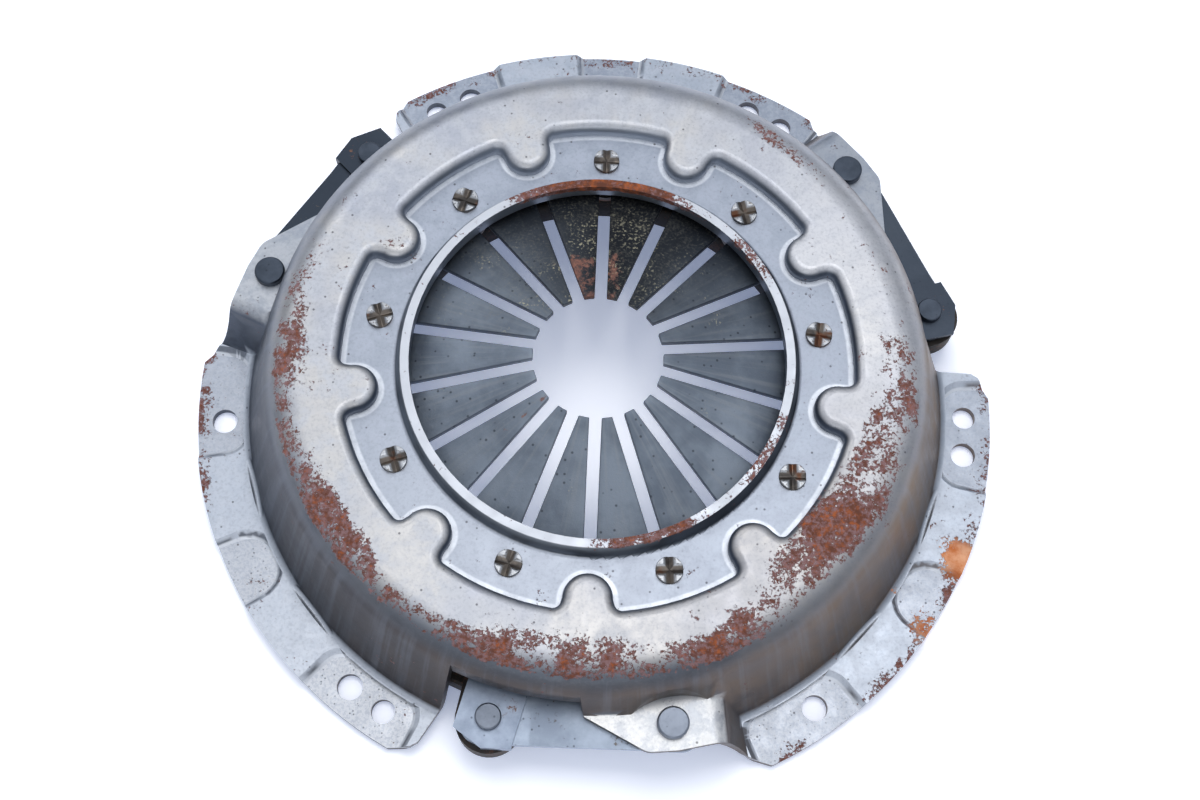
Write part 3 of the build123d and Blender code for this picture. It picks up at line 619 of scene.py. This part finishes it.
blued, tree, shader, spot, _ = new_material("blued_spring_steel")
_, radius, turn_share = round_axis(tree, spot)
fine = noise(tree, spot, 0.9, 4, 0.7)
streaks = drawn_lines(tree, spot, radius, 4, 0.12)
shade, dusty, tips = (
    ring_of_values(tree, turn_share, values) for values in (SHADE, DUST, RUSTY_TIPS))
lie = total(tree, product(tree, noise(tree, spot, 12, 5, 0.7), 0.4), product(tree, fine, 0.9))
lie = maths(tree, "MULTIPLY_ADD", dusty, 0.22, lie)
dust = product(tree, ramp(tree, lie, 0.74, 0.96), 0.2)
specks = ramp(tree, noise(tree, spot, 0.9, 2), 0.56, 0.66, 0.0, 0.8)
grit = maths(tree, "MAXIMUM", dots(tree, spot, 1.6, 0.45, 0.25), specks)
heaps = maths(tree, "MULTIPLY_ADD", dusty, 0.40, noise(tree, spot, 11, 5, 0.65))
grains = product(tree, grit, ramp(tree, heaps, 0.72, 0.88),
                 ramp(tree, radius, *R_GRAINS, 0.25, 1.0))
rusty = product(tree, tips, ramp(tree, radius, *R_TIPS))
rusty = total(tree, rusty, centred(tree, noise(tree, spot, 6, 8, 0.75), 2.0))
rust = ramp(tree, rusty, 0.52, 0.74, 0.0, 0.85)
tone = layered(tree, "616a76", [
    (ramp(tree, noise(tree, spot, 26, 5, 0.6), 0.35, 0.65), "7e8894"),
    (product(tree, ramp(tree, streaks, 0.45, 0.70), 0.35), "8a8f94"),
    (shade, "1e2126"),
    (dust, "7d7b70"),
    (grains, "aaa68f"),
    (product(tree, dots(tree, spot, 2.2, 0.6, 0.22), 0.7), "2f3238"),
    (rust, tint(tree, ramp(tree, fine, 0.4, 0.6), "65463d", "86584a"))])
soil = maths(tree, "MAXIMUM", rust, dust)
metal = maths(tree, "MULTIPLY_ADD", soil, -0.8, 0.9, clamp=True)
rough = maths(tree, "MULTIPLY_ADD", soil, 0.35, 0.44, clamp=True)
relief = maths(tree, "MULTIPLY_ADD", soil, 0.5, fine)
finish_with(tree, shader, tone, metal, rough, relief, 0.06)
print("blued spring ready")

# %% Which finish each solid has
FINISHES = {"cover_steel": cover_steel, "spring_steel": blued, "strap_steel": strap_steel,
            "wire_steel": wire_steel, "cast_iron": iron_painted_dark, "rivet_steel": black_rivet,
            "stud_steel": stud_steel}
SPECIAL = {"ear_rivet_3": worn_rivet, "lug_rivet_3": worn_rivet, "retracting_clip_1": clip_steel,
           "retracting_clip_2": clip_steel, "retracting_clip_3": clip_steel}
record = frame["record"]
slots = {entry["node"]: entry["material_slot"] for entry in record["subparts"]}
bodies = {name: body for body, names in record["behaviour"]["bodies"].items() for name in names}

for name, solid in nodes.items():
    solid.data.materials.clear()
    solid.data.materials.append(SPECIAL.get(name, FINISHES[slots[name]]))
print("finishes on", len(nodes), "solids")

# %% [markdown]
# ## Smooth pressings
# A CAD solid arrives as loose triangles, so the light breaks at each of them. A copy with its
# corners merged can be shaded smoothly, sharp only where faces meet at an angle. On a pressing
# with big level faces and narrow bends, plain smoothing bends the light across the levels too, so
# every corner that a level face has is made to point straight up or down.

# %% Merge and smooth the solids
MERGE, LEVEL, GENTLE = 0.002*MM, 0.99995, 0.8


def smooth(mesh, sharp_degrees):
    """Merges the corners and keeps only the real edges sharp."""
    work = bmesh.new()
    work.from_mesh(mesh)
    bmesh.ops.remove_doubles(work, verts=work.verts, dist=MERGE)
    work.to_mesh(mesh)
    work.free()
    mesh.shade_smooth()
    mesh.set_sharp_from_angle(angle=radians(sharp_degrees))


def read(items, field, width):
    """One field of all the items as an array, with so many values for each."""
    values = np.empty(len(items)*width, np.float32)
    items.foreach_get(field, values)
    return values.reshape(-1, width)


def level_corners(mesh):
    """Corners on a level face point along Z, and so do those of a bend that leaves it gently.

    A face that has a corner whose smooth direction leans more than 37 degrees from it is left flat.
    """
    own = read(mesh.polygons, "normal", 3)
    across = own[:, 2]
    corners = read(mesh.polygons, "loop_total", 1).astype(int)[:, 0]
    face_of_corner = np.repeat(np.arange(len(mesh.polygons)), corners)
    point = read(mesh.loops, "vertex_index", 1).astype(int)[:, 0]
    facing = read(mesh.corner_normals, "vector", 3)
    for side in (1, -1):
        level = side*across > LEVEL
        touched = np.zeros(len(mesh.vertices), bool)
        touched[point[level[face_of_corner]]] = True
        bend = touched[point] & (side*facing[:, 2] > 0.5) & (side*across[face_of_corner] > GENTLE)
        facing[bend | level[face_of_corner]] = (0, 0, side)
    own = own[face_of_corner]
    flat_face = np.zeros(len(mesh.polygons), bool)
    flat_face[face_of_corner[(facing*own).sum(axis=1) < GENTLE]] = True
    astray = flat_face[face_of_corner]
    facing[astray] = own[astray]
    mesh.normals_split_custom_set(facing.tolist())


def smooth_copy(name, sharp_degrees=35):
    """A copy of a solid that stands for it, with smooth bends and level faces."""
    mesh = nodes[name].data.copy()
    mesh.name = name + "_smooth"
    smooth(mesh, sharp_degrees)
    level_corners(mesh)
    piece = bpy.data.objects.new(name + "_smooth", mesh)
    scene.collection.objects.link(piece)
    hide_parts(name)
    return piece


REMADE = ("strap", "stud", "diaphragm")      # these are made further down
for name in nodes:
    if not name.startswith(REMADE):
        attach(smooth_copy(name), bodies[name])
print("smooth copies made")

# %% [markdown]
# ## Drive straps
# Each strap is three leaves of rolled strip, riveted to an ear of the cover at one end and to a
# lug of the plate at the other. When the plate moves the leaves bend between their rivets and
# stay flat under them. Here each leaf is a smooth copy with its place baked into its points, and
# the free length between the rivets is worked out.

# %% Strap leaves, and the free length between their rivets
EAR_ANGLE, LUG_TURN, RIVET_R, CLAMPED = 45.0, -28.4, 120.6*MM, 13.5*MM
LEVELS = ("top", "middle", "bottom")


def rivet_at(angle):
    """The place of a rivet, seen from above."""
    return np.array((RIVET_R*cos(radians(angle)), RIVET_R*sin(radians(angle)), 0.0))


for strap in range(3):
    ear = rivet_at(EAR_ANGLE + 120*strap)
    lug = rivet_at(EAR_ANGLE + LUG_TURN + 120*strap)
    apart = np.linalg.norm(lug - ear)
    along = (lug - ear)/apart
    for level in LEVELS:
        leaf = smooth_copy(f"strap_{strap + 1}_{level}_leaf")
        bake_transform(leaf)
print("nine leaves bend over", round(float(apart - 2*CLAMPED)/MM, 1), "mm")

# %% [markdown]
# ## The diaphragm spring
# One slotted cone of spring steel: an outer belt that presses on the plate, and 18 fingers that
# the release bearing pushes. It pivots on the rings at 80 mm, so its belt and its fingers move
# opposite ways and no single piece could show both. It is made as 18 fingers and 18 belt
# sectors, each a loop of points round its section, carried outwards along the radius.

# %% Shape of the spring, in mm
FINGERS, FIRST_FINGER = 18, 1.1
TIP_R, PIVOT_R, RIM_R, RIDGE_R = 21.8, 80.45, 104.5, 101.8
TIP_Z, CONE, DEEP = 45.7, 0.2114, 2.657
SLOT, EYE, EYE_CORNER = 2.05, 4.5, 2.6      # half widths, and the rounding of the eye
EYE_FROM, EYE_TO = 70.6, 78.4               # where the eye begins and ends
ROUNDED = 0.3
QUARTER = np.linspace(0, pi/2, 4)           # steps round an edge


def slot_half_width(r):
    """Half the slot at each radius: a plain slot, then an eye with rounded corners at the stud."""
    outer_corner = EYE_TO - EYE_CORNER
    bend = np.clip(np.maximum(EYE_FROM + EYE_CORNER - r, r - outer_corner), 0, EYE_CORNER)
    eye = EYE - EYE_CORNER + np.sqrt(EYE_CORNER**2 - bend**2)
    at_least = np.where(r < outer_corner, SLOT, 0)
    width = np.where(r < EYE_FROM, SLOT, np.maximum(eye, at_least))
    return np.where(r > EYE_TO, 0.0, width)


def rounding(distance):
    """How far a quarter-round edge lies inside its corner, at a distance from the edge."""
    left = np.clip(ROUNDED - distance, 0, ROUNDED)
    return ROUNDED - np.sqrt(ROUNDED**2 - left**2)


def sector_loops(centre, radii, round_from, round_sides, columns=9):
    """Loops round the section at each radius. Angle = centre + v (10 degrees - slot), and height
    falls along the cone. The upper side runs one way and the lower side back, with round edges."""
    gap = slot_half_width(radii)
    half = radians(180/FINGERS) - np.arcsin(gap/radii)
    inset = rounding(np.abs(radii - round_from))
    side = np.where(gap > 0.5, ROUNDED, 0.0)*round_sides
    v = np.linspace(-1, 1, columns)
    flat_part = (half - (side + inset)/radii)[:, None]*v[None, :]
    edge = side[:, None]*np.sin(QUARTER)[None, 1:]/radii[:, None]
    right = flat_part[:, -1:] + edge
    drop = side[:, None]*(1 - np.cos(QUARTER))[None, 1:]
    depth = np.concatenate((drop[:, ::-1], np.zeros((len(radii), columns)), drop), 1)
    turn = np.concatenate((-right[:, ::-1], flat_part, right), 1)
    top = (TIP_Z - (radii - TIP_R)*CONE)[:, None]
    upper = top - depth - inset[:, None]
    lower = top - DEEP + depth + inset[:, None]
    angle = radians(centre) + np.concatenate((turn, turn[:, ::-1]), 1)
    z = np.concatenate((upper, lower[:, ::-1]), 1)
    r = np.broadcast_to(radii[:, None], z.shape)
    return np.stack((r*np.cos(angle), r*np.sin(angle), z), -1)*MM


pivot_width = 2*PIVOT_R*sin(radians(180/FINGERS))
print("fingers are", round(pivot_width, 1), "mm wide at the pivot")

# %% Put loops into closed meshes
def closed(name, loops, finish, sharp_degrees=50):
    """A closed piece: quads from loop to loop, and across the first and the last loop."""
    rows, count = loops.shape[:2]
    index = np.arange(rows*count).reshape(rows, count)
    ahead = np.roll(index, -1, axis=1)
    walls = np.stack((index[:-1], index[1:], ahead[1:], ahead[:-1]), -1).reshape(-1, 4)
    near = np.arange(count//2 - 1)
    lid = np.stack((near, near + 1, count - 2 - near, count - 1 - near), -1)
    faces = np.concatenate((walls, index[0][lid], index[-1][lid][:, ::-1]))
    mesh = bpy.data.meshes.new(name)
    mesh.from_pydata(loops.reshape(-1, 3).tolist(), [], faces.tolist())
    smooth(mesh, sharp_degrees)
    mesh.materials.append(finish)
    piece = bpy.data.objects.new(name, mesh)
    scene.collection.objects.link(piece)
    return piece


def spring_piece(name, degrees_round, radii, round_from, round_sides):
    """One finger or one sector of the belt."""
    loops = sector_loops(degrees_round, radii, round_from, round_sides)
    piece = closed(name, loops, blued)
    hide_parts("diaphragm_spring")
    return piece


# Rows of points: close together at the round tip, in the corners of the eye and at the rim.
tip_rows = TIP_R + ROUNDED*(1 - np.cos(QUARTER))
finger_rows = np.linspace(24, EYE_FROM - 1, 24)
eye_in = np.linspace(EYE_FROM - 0.01, EYE_FROM + EYE_CORNER, 8)
eye_out = EYE_TO - EYE_CORNER*(1 - np.sin(np.linspace(0, pi/2, 8)))
finger_r = np.concatenate((tip_rows, finger_rows, eye_in, eye_out, (EYE_TO + 0.03, 79.4, PIVOT_R)))
rim_rows = RIM_R - ROUNDED*(1 - np.sin(QUARTER))
belt_r = np.concatenate((np.linspace(PIVOT_R, RIM_R - 1, 12), rim_rows))
for k in range(FINGERS):
    degrees_round = FIRST_FINGER + 360/FINGERS*k
    out = np.array((cos(radians(degrees_round)), sin(radians(degrees_round)), 0))
    finger = spring_piece(f"spring_finger_{k + 1}", degrees_round, finger_r, TIP_R, 1)
    belt = spring_piece(f"spring_belt_{k + 1}", degrees_round, belt_r, RIM_R, 0)
    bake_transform(finger)
    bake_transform(belt)
print(FINGERS, "fingers and belt sectors, tips at", TIP_R, "mm")

# %% [markdown]
# ## Staked studs
# The studs that hang the spring are closed from above by a cross-shaped chisel. It drives two
# V-grooves into the head and leaves four bright corners. The stud is a turned profile, and its
# top is pressed down by the deeper of the two grooves at each point.

# %% Studs with V-grooves, in mm
STUD_R, FIRST_STUD, STUDS = 75.4, 51.1, 9
FLOOR_Z, FLOOR_UNDER, HEAD_R, HEAD_H = 40.7, 37.6, 4.5, 1.6
SHANK_R, NECK_R, FLANGE_R, SEAT_Z, FLANGE_H = 3.0, 2.6, 6.7, 26.4, 2.4
GROOVE_HALF, GROOVE_DEEP, HEAD_EDGE = 1.9, 1.3, 0.3
CHISEL_TURNS = (17, 2, -15, 19, 21, -13, 5, 3, -6)      # degrees, as each one was struck
AROUND, TOP_FROM, TOP_ROWS = 64, 4.0, 21


def struck_stud(place_angle, chisel_turn):
    """Rings of points up the profile, with the grooves pressed into the top.

    On top, height = head - depth (1 - |u|/half), where u is across the nearer groove.
    """
    t = np.linspace(0, 2*pi, AROUND, endpoint=False)
    lower = [(0, SEAT_Z - FLANGE_H), (FLANGE_R, SEAT_Z - FLANGE_H), (FLANGE_R, SEAT_Z),
             (SHANK_R, SEAT_Z), (SHANK_R, FLOOR_UNDER), (NECK_R, FLOOR_UNDER),
             (NECK_R, FLOOR_Z), (HEAD_R, FLOOR_Z)]
    lower_r, lower_z = np.array(lower).T
    edge_r = HEAD_R - HEAD_EDGE*(1 - np.cos(QUARTER))
    profile = np.concatenate((lower_r, edge_r, np.linspace(TOP_FROM, 0, TOP_ROWS)))
    r = profile[:, None]*np.ones(AROUND)
    x, y = r*np.cos(t), r*np.sin(t)
    a = radians(chisel_turn)
    u, w = x*cos(a) + y*sin(a), y*cos(a) - x*sin(a)
    nearer = np.minimum(np.abs(u), np.abs(w))
    groove = GROOVE_DEEP*np.clip(1 - nearer/GROOVE_HALF, 0, 1)
    edge = np.clip(r - (HEAD_R - HEAD_EDGE), 0, HEAD_EDGE)
    z = FLOOR_Z + HEAD_H - groove - (HEAD_EDGE - np.sqrt(HEAD_EDGE**2 - edge**2))
    z[:len(lower)] = lower_z[:, None]
    out = radians(place_angle)
    return np.stack((x + STUD_R*cos(out), y + STUD_R*sin(out), z), -1)*MM


for k in range(STUDS):
    rings = struck_stud(FIRST_STUD + 360/STUDS*k, CHISEL_TURNS[k])
    stud = closed(f"stud_{k + 1}", rings, stud_steel, 24)
    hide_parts(f"stud_rivet_{k + 1}")
    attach(stud, "cover")
print(STUDS, "studs staked")
